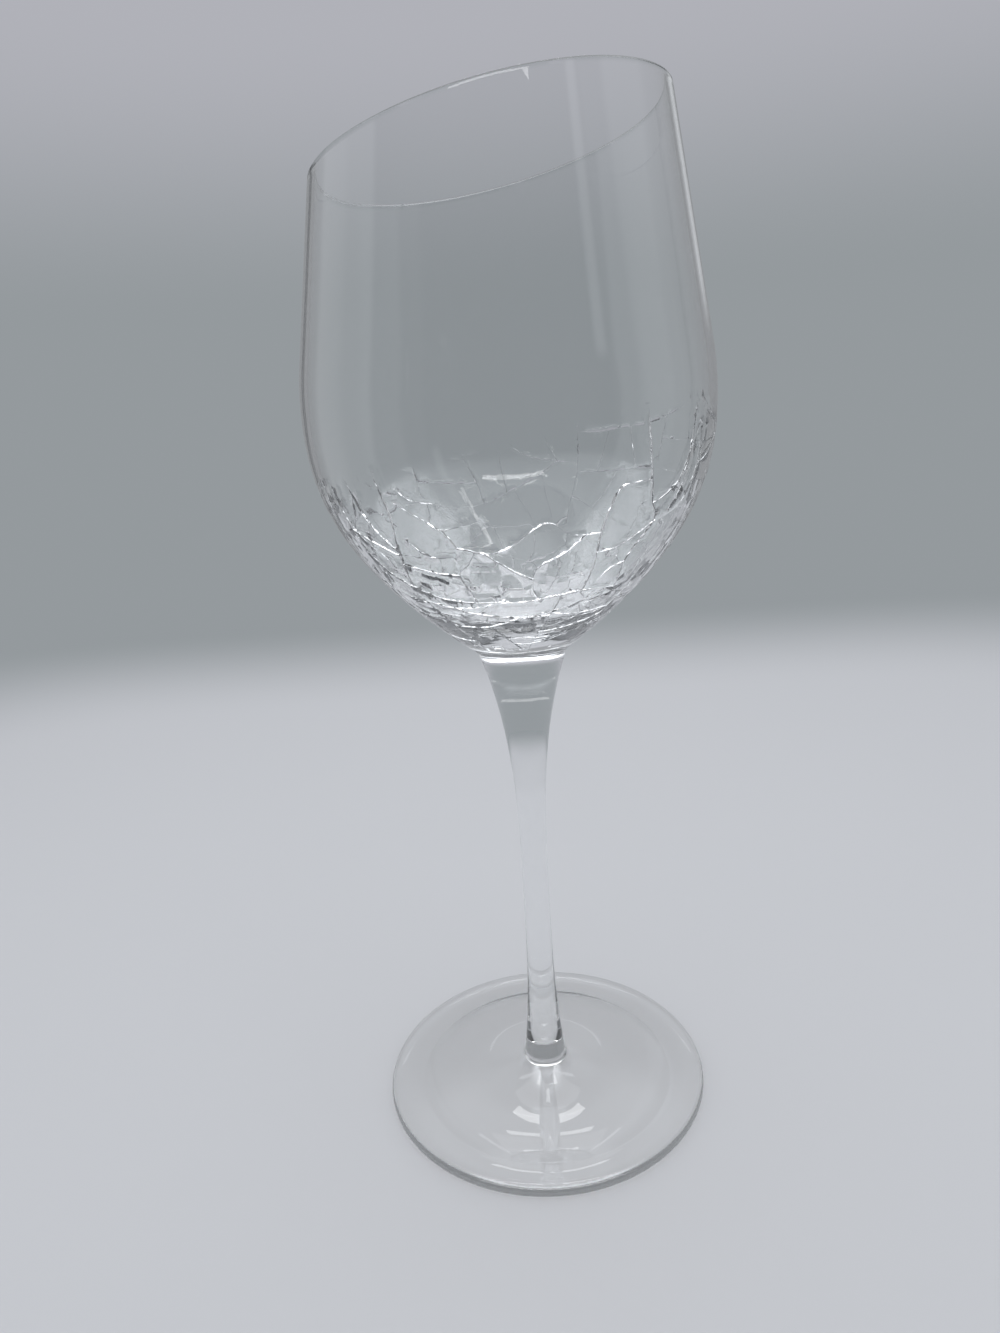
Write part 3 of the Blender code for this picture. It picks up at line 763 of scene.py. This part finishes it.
class Grooves:
    """The section of the cracks at any place of the disc."""

    def __init__(self, skin, lines, strengths):
        starts, ends, values = [], [], []
        for line, strength in zip(lines, strengths):
            starts += line[:-1]
            ends += line[1:]
            values += zip(strength, strength[1:])
        self.skin = skin
        self.start = np.array(starts)
        self.run = np.array(ends) - self.start
        self.run_squared = np.maximum((self.run**2).sum(axis=1), TINY**2)
        self.strength = np.array(values)
        self.tree = KDTree(len(starts))
        for index, (start, end) in enumerate(zip(starts, ends)):
            self.tree.insert(((start + end) / 2).to_3d(), index)
        self.tree.balance()

    def around(self, points):
        """For each point, how far off the nearest stretches of crack are, and their strengths."""
        found = [self.tree.find_n(point.to_3d(), NEAREST_SEGMENTS) for point in points]
        index = np.array([[hit[1] for hit in hits] for hits in found])
        place = np.array(points)
        offset = place[:, None, :] - self.start[index]
        along = np.clip((offset * self.run[index]).sum(axis=2) / self.run_squared[index], 0, 1)
        gap = np.hypot(*np.moveaxis(offset - self.run[index] * along[..., None], 2, 0))
        length = np.hypot(place[:, 0], place[:, 1])
        radius = np.interp(np.log(np.maximum(length, TINY)), self.skin.spread, self.skin.radius)
        strength = self.strength[index, 0] * (1 - along) + self.strength[index, 1] * along
        return gap * (radius / length)[:, None], strength


def plate_points(skin, grooves):
    """Points that carry the panes between the cracks, in rings."""
    rows = max(1, round(SHOULDER_RADIUS * TAPER_ANGLE / PLATE_STEP))
    widest = skin.spread_at(BELLY_HEIGHT)
    spreads = [widest * row / rows for row in range(1, rows + 1)]
    while spreads[-1] > skin.lowest:
        spreads.append(spreads[-1] - PLATE_STEP / skin.radius_at(spreads[-1]))
    points = []
    for row, spread in enumerate(spreads[:-1]):
        count = round(2 * math.pi * skin.radius_at(spread) / PLATE_STEP)
        points += [to_disc(2 * math.pi * (index + row % 2 / 2) / count, spread) for index in range(count)]
    gap, _ = grooves.around(points)
    return [point for point, near in zip(points, gap.min(axis=1)) if near > PLATE_CLEARANCE]


def pane_tilts(points, faces, in_groove, places, strengths):
    """How far each point sinks or rises because its own pane lies tilted. Panes end at grooves."""
    parent = list(range(len(points)))

    def root(index):
        while parent[index] != index:
            parent[index] = parent[parent[index]]
            index = parent[index]
        return index

    for face in faces:
        corners = [corner for corner in face if not in_groove[corner]]
        for first, second in zip(corners, corners[1:]):
            parent[root(first)] = root(second)
    panes = {}
    for index in range(len(points)):
        if not in_groove[index]:
            panes.setdefault(root(index), []).append(index)
    rng = random.Random(PANE_SEED)
    lift = np.zeros(len(points))
    for members in sorted(panes.values(), key=min):
        centre = places[members].mean(axis=0)
        tilt = np.array([rng.gauss(0, math.tan(PANE_TILT)) for _ in range(3)])
        amount = (places[members] - centre) @ tilt
        lift[members] = np.clip(amount, -PANE_TILT_LIMIT, PANE_TILT_LIMIT) * strengths[members]
    return lift


def crack_net(skin, lines, strengths, grooves):
    """Triangles on the disc whose edges follow each crack, its mouth, its groove and its shoulders."""
    net = Net()
    for line, strength in zip(lines, strengths):
        net.add_line(line)
        width = []
        for point, value in zip(line, strength):
            breadth = max(LEAST_BREADTH, math.sqrt(value))
            width.append(breadth * groove_change(skin, point) * disc_scale(skin, point))
        for half in (MOUTH_HALF_WIDTH, GROOVE_HALF_WIDTH, GROOVE_HALF_WIDTH + SHOULDER_WIDTH):
            for side in beside(line, [half * value for value in width]):
                net.add_line(side)
    net.points += plate_points(skin, grooves)
    net.add_ring(0.0, TURN_STEPS)
    net.add_ring(skin.lowest, TURN_STEPS)
    points, _, faces, _, _, _ = delaunay_2d_cdt(net.points, net.edges, [], 0, DISC_MERGE, False)
    return points, faces


def lean_fissures(skin, azimuth, spread, strength, in_fissure):
    """Moves the deepest points of the cracks sideways, so that each fissure leans and is ragged."""
    rng = random.Random(PANE_SEED)
    flat = skin.place(azimuth, spread, 0)
    azimuth, spread = azimuth.copy(), spread.copy()
    for index in np.flatnonzero(in_fissure):
        place = Vector(flat[index]) / FISSURE_LEAN_SPAN
        slant = abs(noise.noise(place * FISSURE_LEAN_CHANGE))
        lean = noise.noise_vector(place) * FISSURE_LEAN * slant
        across = lean.x + rng.uniform(-FISSURE_RAGGED, FISSURE_RAGGED)
        along = lean.y + rng.uniform(-FISSURE_RAGGED, FISSURE_RAGGED)
        radius = skin.radius_at(spread[index])
        azimuth[index] += across * strength[index] / radius
        spread[index] += along * strength[index] / radius
    return azimuth, spread


def outside_ring(skin, points, faces):
    """The triangles above the ring where the crackled skin meets the stem."""
    ring = math.exp(skin.lowest) * math.cos(math.pi / TURN_STEPS)
    side = 2 * math.pi / TURN_STEPS
    kept = []
    for face in faces:
        middle = sum((points[corner] for corner in face), Vector((0, 0))) / len(face)
        off_middle = math.atan2(middle.y, middle.x) % side - side / 2
        if middle.length > ring / math.cos(off_middle):
            kept.append(face)
    return kept


def crackled_sheet(skin):
    """The crackled skin as points in space, its triangles, and which points are at a fissure."""
    lines, most = all_cracks(skin)
    strengths = end_strengths(skin, lines, most)
    grooves = Grooves(skin, lines, strengths)
    points, faces = crack_net(skin, lines, strengths, grooves)
    azimuth, spread = np.array([from_disc(point) for point in points]).T
    zone = np.array([crackle_strength(skin, *pair) for pair in zip(azimuth, spread)])
    gap, strength = grooves.around(points)
    change = np.array([groove_change(skin, point) for point in points])
    width = GROOVE_HALF_WIDTH * np.maximum(LEAST_BREADTH, np.sqrt(strength)) * change[:, None]
    depth = (GROOVE_DEPTH * strength * np.clip(1 - gap / width, 0, 1)).max(axis=1)

    nearest = np.arange(len(points)), gap.argmin(axis=1)
    beyond = np.maximum(0, gap[nearest] - width[nearest])
    shoulders = SHOULDER_SINK * np.clip(1 - beyond / SHOULDER_WIDTH, 0, 1) * zone
    round_off = PANE_ROUND_SINK * np.exp(-beyond / PANE_ROUND_SPAN) * zone
    tilts = pane_tilts(points, faces, depth > TINY, skin.place(azimuth, spread, 0), zone)

    in_fissure = gap[nearest] < MOUTH_HALF_WIDTH * FISSURE_REACH
    at_mouth = gap[nearest] < MOUTH_HALF_WIDTH * MOUTH_REACH
    depth = np.where(in_fissure, np.maximum(depth, FISSURE_DEPTH * strength[nearest]), depth)
    azimuth, spread = lean_fissures(skin, azimuth, spread, strength[nearest], in_fissure)
    places = skin.place(azimuth, spread, depth + tilts + round_off + shoulders)
    return places, outside_ring(skin, points, faces), in_fissure | at_mouth


def turned_parts(skin):
    """The inside, the taper, the stem and the foot, turned from two open profiles."""
    inner = inner_profile()
    top = taper_point(BLANK_TOP, 0)
    bottom = taper_point(SHOULDER_HEIGHT, 0)
    taper = [top.lerp(bottom, step / TAPER_STEPS) for step in range(TAPER_STEPS + 1)]
    upper = inner + taper
    start = Vector((skin.radius_at(skin.lowest), skin.height_at(skin.lowest)))
    lower = [start] + stem_profile() + foot_profile()
    points = [(point.x, 0, point.y) for point in upper + lower]
    edges = [(index, index + 1) for index in range(len(points) - 1) if index != len(upper) - 1]
    mesh = bpy.data.meshes.new("turning_profile")
    mesh.from_pydata(points, edges, [])
    profile = bpy.data.objects.new("turning_profile", mesh)
    bpy.context.scene.collection.objects.link(profile)
    screw = profile.modifiers.new("turn", "SCREW")
    screw.axis = "Z"
    screw.steps = TURN_STEPS
    screw.render_steps = TURN_STEPS
    screw.use_merge_vertices = True
    screw.merge_threshold = MERGE
    evaluated = profile.evaluated_get(bpy.context.evaluated_depsgraph_get())
    turned = bpy.data.meshes.new_from_object(evaluated)
    bpy.data.objects.remove(profile, do_unlink=True)
    return turned


def cut_rim(shape):
    """Cuts the tall blank off along the slanted rim, joins its two edges by a lip and rounds it."""
    everything = shape.verts[:] + shape.edges[:] + shape.faces[:]
    slope = math.tan(RIM_TILT)
    normal = Vector((slope * math.cos(RIM_LOW_SIDE), slope * math.sin(RIM_LOW_SIDE), 1)).normalized()
    centre = Vector((0, 0, rim_plane_height(0, 0)))
    below_lip = centre - normal * LIP_ROUND * LIP_GUARD
    guard = bmesh.ops.bisect_plane(
        shape, geom=everything, dist=CUT_MERGE, plane_co=below_lip, plane_no=normal,
    )
    bmesh.ops.bisect_plane(
        shape, geom=guard["geom"], dist=CUT_MERGE, plane_co=centre, plane_no=normal, clear_outer=True,
    )
    rim = [edge for edge in shape.edges if edge.is_boundary and edge.verts[0].co.z > SHOULDER_HEIGHT]
    bmesh.ops.bridge_loops(shape, edges=rim)
    bmesh.ops.recalc_face_normals(shape, faces=shape.faces[:])
    bmesh.ops.bevel(
        shape, geom=rim, offset=LIP_ROUND, offset_type="OFFSET", segments=LIP_STEPS, profile=0.5,
        affect="EDGES", clamp_overlap=True,
    )


class Amount:
    """A number that changes over a surface. Sums and products of it add Math nodes."""

    def __init__(self, finish, socket):
        self.finish = finish
        self.socket = socket

    def __add__(self, other):
        return self.finish.maths("ADD", self, other)

    __radd__ = __add__

    def __rsub__(self, other):
        return self.finish.maths("SUBTRACT", other, self)

    def __mul__(self, other):
        return self.finish.maths("MULTIPLY", self, other)

    __rmul__ = __mul__

    def __pow__(self, other):
        return self.finish.maths("POWER", self, other)

    def __abs__(self):
        return self.finish.maths("ABSOLUTE", self)


class Finish:
    """The nodes of one material or of the surroundings."""

    def __init__(self, owner):
        owner.use_nodes = True
        self.tree = owner.node_tree
        self.tree.nodes.clear()

    def add(self, kind, settings=None, inputs=None, output=0):
        """Adds a node, sets it up, fills or links its sockets, and returns one of its outputs."""
        node = self.tree.nodes.new(kind)
        for name, value in (settings or {}).items():
            setattr(node, name, value)
        for key, value in (inputs or {}).items():
            if isinstance(value, Amount):
                self.tree.links.new(value.socket, node.inputs[key])
            else:
                node.inputs[key].default_value = value
        return Amount(self, node.outputs[output]) if node.outputs else None

    def maths(self, operation, *values):
        return self.add("ShaderNodeMath", {"operation": operation}, dict(enumerate(values)))

    def most(self, first, second):
        return self.maths("MAXIMUM", first, second)

    def rise(self, value, start, end):
        """0 below start and 1 above end, with a soft change between them."""
        return self.add(
            "ShaderNodeMapRange",
            {"interpolation_type": "SMOOTHSTEP"},
            {"Value": value, "From Min": start, "From Max": end},
        )

    def band(self, value, start, end, softness):
        """1 between start and end, falling off to 0 over the softness at both."""
        up = self.rise(value, start - softness, start + softness)
        down = self.rise(value, end - softness, end + softness)
        return up * (1 - down)

    def at_least(self, value, count):
        """1 where a value that is always a whole number has come up to the count, and 0 below it."""
        return self.rise(value, count - 0.6, count - 0.4)

    def mix(self, share, first, second):
        """A colour between two colours."""
        ends = {6: as_colour(first), 7: as_colour(second)}
        return self.add("ShaderNodeMix", {"data_type": "RGBA"}, {0: share, **ends}, 2)

    def mix_shaders(self, share, first, second):
        return self.add("ShaderNodeMixShader", inputs={0: share, 1: first, 2: second})

    def scaled(self, colour, amount):
        """A colour made paler or darker."""
        return self.add("ShaderNodeVectorMath", {"operation": "SCALE"}, {0: colour, "Scale": amount})

    def part_of(self, vector, axis):
        return self.add("ShaderNodeSeparateXYZ", inputs={0: vector}, output=axis)

    def azimuth_of(self, vector):
        """The azimuth of a direction, in degrees from straight ahead and growing to the right."""
        turn = self.maths("ARCTAN2", self.part_of(vector, "X"), self.part_of(vector, "Y"))
        return turn * math.degrees(1)

    def cloud(self, place, scale, detail):
        """A soft random change from 0 to 1 over the surface."""
        return self.add("ShaderNodeTexNoise", inputs={"Vector": place, "Scale": scale, "Detail": detail})

    def ray(self, name):
        return self.add("ShaderNodeLightPath", output=name)


def as_colour(value):
    """A colour of three numbers gets its fourth. A socket stays as it is."""
    return (*value, 1) if isinstance(value, tuple) and len(value) == 3 else value


def glass_finish():
    """Clear glass. Lamps shine through it, and light caught inside its wall gets out again."""
    material = bpy.data.materials.new("crackled_clear_glass")
    finish = Finish(material)
    place = finish.add("ShaderNodeTexCoord", output="Object")
    ripple = finish.cloud(place, RIPPLE_SCALE, detail=1.0)
    lower_wall = finish.band(finish.part_of(place, "Z"), *RIPPLED_HEIGHTS, RIPPLE_FADE)
    rippled = ripple * (RIPPLE_ELSEWHERE + lower_wall)
    uneven = finish.add(
        "ShaderNodeBump", inputs={"Strength": 1.0, "Distance": RIPPLE_RISE, "Height": rippled}
    )
    glass = finish.add("ShaderNodeBsdfPrincipled", inputs={
        "Base Color": as_colour(GLASS_COLOUR),
        "Roughness": 0.0,
        "IOR": GLASS_IOR,
        "Transmission Weight": 1.0,
        "Normal": uneven,
    })
    passing = finish.add("ShaderNodeBsdfTransparent", inputs={"Color": as_colour(SHADOW_COLOUR)})
    freed = finish.add("ShaderNodeBsdfTranslucent", inputs={"Color": as_colour(CAUGHT_COLOUR)})
    caught = finish.at_least(finish.ray("Glossy Depth"), CAUGHT_AFTER)
    inside = finish.mix_shaders(caught, glass, freed)
    whole = finish.mix_shaders(finish.ray("Is Shadow Ray"), inside, passing)
    finish.add("ShaderNodeOutputMaterial", inputs={"Surface": whole})
    return material


def seen_share(finish):
    """1 for a ray that the camera sees straight or through glass, 0 for one that lights a surface."""
    straight = finish.most(finish.ray("Is Glossy Ray"), finish.ray("Is Transmission Ray"))
    straight = finish.most(straight, finish.ray("Is Camera Ray"))
    return straight * (1 - finish.at_least(finish.ray("Diffuse Depth"), 1))


def wall_level(finish, turn):
    """How pale the walls of the room are, by azimuth."""
    level = WALL_LEVEL
    for first, last, softness, paler in WALLS:
        level = level + paler * finish.band(turn, first, last, softness)
    return level


def strip_level(finish, turn, up):
    """How much paler the strips on the walls are."""
    level = 0
    for first, last, softness, paler, low, high in WALL_STRIPS:
        level = level + paler * finish.band(turn, first, last, softness) * finish.rise(up, low, high)
    return level


def ceiling_level(finish, turn, up):
    """How pale the ceiling is.

    Light that comes by the far wall of the bowl shows all of it. Other light shows only its top,
    which glints on the foot, and its patch straight ahead.
    """
    overhead = finish.rise(up, *OVERHEAD_START)
    ahead = finish.band(turn, *AHEAD_TURN) * finish.band(up, *AHEAD_RISE)
    low = CEILING_LOW * finish.rise(up, *CEILING_LOW_START)
    high = CEILING_HIGH * finish.rise(up, *CEILING_HIGH_START)
    front = CEILING_BEHIND + (1 - CEILING_BEHIND) * finish.band(turn, *CEILING_FRONT)
    sloping = finish.most(low, high) * front * (1 - overhead) * (1 - AHEAD_DIMMING * ahead)
    surfaces_crossed = finish.ray("Transmission Depth")
    by_far_wall = finish.at_least(surfaces_crossed, CROSSED_BEFORE_FAR_WALL)
    glint = OVERHEAD_GLINT * (1 - finish.at_least(surfaces_crossed, 1))
    for_all = (OVERHEAD_LEVEL + glint) * overhead + AHEAD_LEVEL * ahead
    return finish.most((sloping + OVERHEAD_LEVEL * overhead) * by_far_wall, for_all)


def seen_or_mirrored(finish, colour, level):
    """A colour where it is seen, and the room at its level where glass mirrors it."""
    mirrored = finish.at_least(finish.ray("Glossy Depth"), 1)
    return finish.mix(mirrored, colour, finish.scaled(ROOM_TINT, level))


def surroundings():
    """The backdrop and the room, and the even light that they give."""
    world = bpy.data.worlds.new("studio")
    bpy.context.scene.world = world
    finish = Finish(world)
    direction = finish.add("ShaderNodeTexCoord", output="Generated")
    turn = finish.azimuth_of(direction)
    up = finish.part_of(direction, "Z")
    backdrop = finish.mix(finish.rise(up, *BACKDROP_CHANGE), BACKDROP_LOW, BACKDROP_HIGH)
    level = wall_level(finish, turn) + strip_level(finish, turn, up) + ceiling_level(finish, turn, up)
    colour = finish.mix(seen_share(finish), AMBIENT, seen_or_mirrored(finish, backdrop, level))
    light = finish.add("ShaderNodeBackground", inputs={"Color": colour, "Strength": 1.0})
    finish.add("ShaderNodeOutputWorld", inputs={"Surface": light})


def floor_finish():
    """A pale, slightly cloudy table top. Past its soft edge it shows what is behind it."""
    material = bpy.data.materials.new("pale_floor")
    finish = Finish(material)
    place = finish.add("ShaderNodeTexCoord", output="Object")
    across = abs(finish.part_of(place, "X")) ** FLOOR_CORNER_POWER
    along = abs(finish.part_of(place, "Y")) ** FLOOR_CORNER_POWER
    reach = (across + along) ** (1 / FLOOR_CORNER_POWER)
    beyond = finish.rise(reach, FLOOR_FADE_START, FLOOR_FADE_END)
    cloud = finish.cloud(place, FLOOR_CLOUD_SCALE, detail=3.0)
    colour = finish.mix(cloud * FLOOR_CLOUD_SHARE, FLOOR_COLOUR, FLOOR_CLOUD_COLOUR)
    top = finish.add("ShaderNodeBsdfDiffuse", inputs={"Color": colour})
    behind = seen_or_mirrored(finish, BACKDROP_LOW, wall_level(finish, finish.azimuth_of(place)))
    shown = finish.mix(seen_share(finish), (0.0, 0.0, 0.0), behind)
    far = finish.add("ShaderNodeEmission", inputs={"Color": shown, "Strength": 1.0})
    finish.add("ShaderNodeOutputMaterial", inputs={"Surface": finish.mix_shaders(beyond, top, far)})
    return material


def make_glass():
    """The whole glass as one closed mesh, smooth all over but for the sharp walls of its fissures."""
    skin = BowlSkin()
    shape = bmesh.new()
    shape.from_mesh(turned_parts(skin))
    fissure = shape.verts.layers.int.new("fissure")
    places, faces, at_fissure = crackled_sheet(skin)
    corners = [shape.verts.new(place) for place in places]
    for corner, sharp in zip(corners, at_fissure):
        corner[fissure] = int(sharp)
    for face in faces:
        shape.faces.new([corners[index] for index in face])
    unused = [vert for vert in shape.verts if not vert.link_faces]
    bmesh.ops.delete(shape, geom=unused, context="VERTS")
    bmesh.ops.remove_doubles(shape, verts=shape.verts[:], dist=MERGE)
    cut_rim(shape)
    for piece in shape.edges[:] + shape.faces[:]:
        piece.smooth = not all(vert[fissure] for vert in piece.verts)
    mesh = bpy.data.meshes.new("crackled_glass")
    shape.to_mesh(mesh)
    shape.free()
    glass = bpy.data.objects.new("crackled_glass", mesh)
    mesh.materials.append(glass_finish())
    bpy.context.scene.collection.objects.link(glass)
    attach(glass, "root")
    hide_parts("wine_glass")


def make_floor():
    mesh = bpy.data.meshes.new("floor")
    half = FLOOR_HALF_SIZE
    outline = ((-half, -half), (half, -half), (half, half), (-half, half))
    mesh.from_pydata([(x, y, -FLOOR_GAP) for x, y in outline], [], [(0, 1, 2, 3)])
    mesh.materials.append(floor_finish())
    floor = bpy.data.objects.new("floor", mesh)
    bpy.context.scene.collection.objects.link(floor)


def area_lamp(name, azimuth, elevation, width, height, radiance, distance, aim=0.0):
    """A soft rectangular lamp. It faces the glass's axis at the height that aim gives."""
    light = bpy.data.lights.new(name, "AREA")
    light.shape = "RECTANGLE"
    light.size = width
    light.size_y = height
    light.energy = radiance * math.pi * width * height
    lamp = bpy.data.objects.new(name, light)
    turn, rise = math.radians(azimuth), math.radians(elevation)
    toward = Vector((math.sin(turn) * math.cos(rise), math.cos(turn) * math.cos(rise), math.sin(rise)))
    lamp.location = toward * distance + Vector((0, 0, aim))
    lamp.rotation_euler = toward.to_track_quat("Z", "Y").to_euler()
    bpy.context.scene.collection.objects.link(lamp)
    return lamp


def make_foot_lamps():
    """Lamps behind the glass, each of which makes one of the bright marks on the foot."""
    far = FOOT_LAMP_DISTANCE
    area_lamp("front_strip", 0, 55.0, width=0.58, height=0.100, radiance=4.5, distance=far)
    area_lamp("soft_panel", 0, 63.0, width=0.94, height=0.50, radiance=0.8, distance=far)
    area_lamp("left_strip", -27, 62.5, width=0.06, height=0.52, radiance=2.0, distance=far)
    area_lamp("right_strip", 27, 62.5, width=0.06, height=0.52, radiance=2.0, distance=far)
    area_lamp("back_strip", 0, 69.0, width=0.50, height=0.26, radiance=4.0, distance=2.45)
    area_lamp("low_strip", 0, 41.85, width=0.16, height=0.036, radiance=1.5, distance=far)


def make_bowl_lamps():
    """Two strips in front of the glass, which its inside mirrors, and the main light from above."""
    near, aim = BOWL_LAMP_DISTANCE, BOWL_LAMP_AIM
    area_lamp("rear_strip", 181, 38.5, width=0.95, height=0.075, radiance=4.5, distance=near, aim=aim)
    area_lamp("tall_strip", 135, 58.0, width=0.05, height=0.85, radiance=3.5, distance=near, aim=aim)
    main_light = area_lamp(
        "main_light", 0, 87.0, width=0.60, height=0.66, radiance=3.6, distance=0.852, aim=aim
    )
    main_light.visible_glossy = False
    main_light.visible_transmission = False


def make_camera():
    """The camera, close in front of the bowl, looking down a little and slightly rolled."""
    camera = bpy.data.cameras.new("camera")
    camera.sensor_width = SENSOR
    camera.lens = FOCAL_PIXELS / PHOTO_LONG_SIDE * SENSOR
    camera.clip_start = CAMERA_NEAREST
    holder = bpy.data.objects.new("camera", camera)
    ahead = Vector((
        math.sin(CAMERA_YAW) * math.cos(CAMERA_PITCH),
        math.cos(CAMERA_YAW) * math.cos(CAMERA_PITCH),
        -math.sin(CAMERA_PITCH),
    ))
    level = Vector((math.cos(CAMERA_YAW), -math.sin(CAMERA_YAW), 0))
    upright = level.cross(ahead)
    right = level * math.cos(CAMERA_ROLL) + upright * math.sin(CAMERA_ROLL)
    up = upright * math.cos(CAMERA_ROLL) - level * math.sin(CAMERA_ROLL)
    turned = Matrix((right, up, -ahead)).transposed().to_4x4()
    holder.matrix_world = Matrix.Translation((0, -CAMERA_DISTANCE, CAMERA_HEIGHT)) @ turned
    bpy.context.scene.collection.objects.link(holder)
    bpy.context.scene.camera = holder


make_camera()
make_glass()
make_floor()
surroundings()
make_foot_lamps()
make_bowl_lamps()
bpy.context.scene.view_settings.view_transform = "Standard"
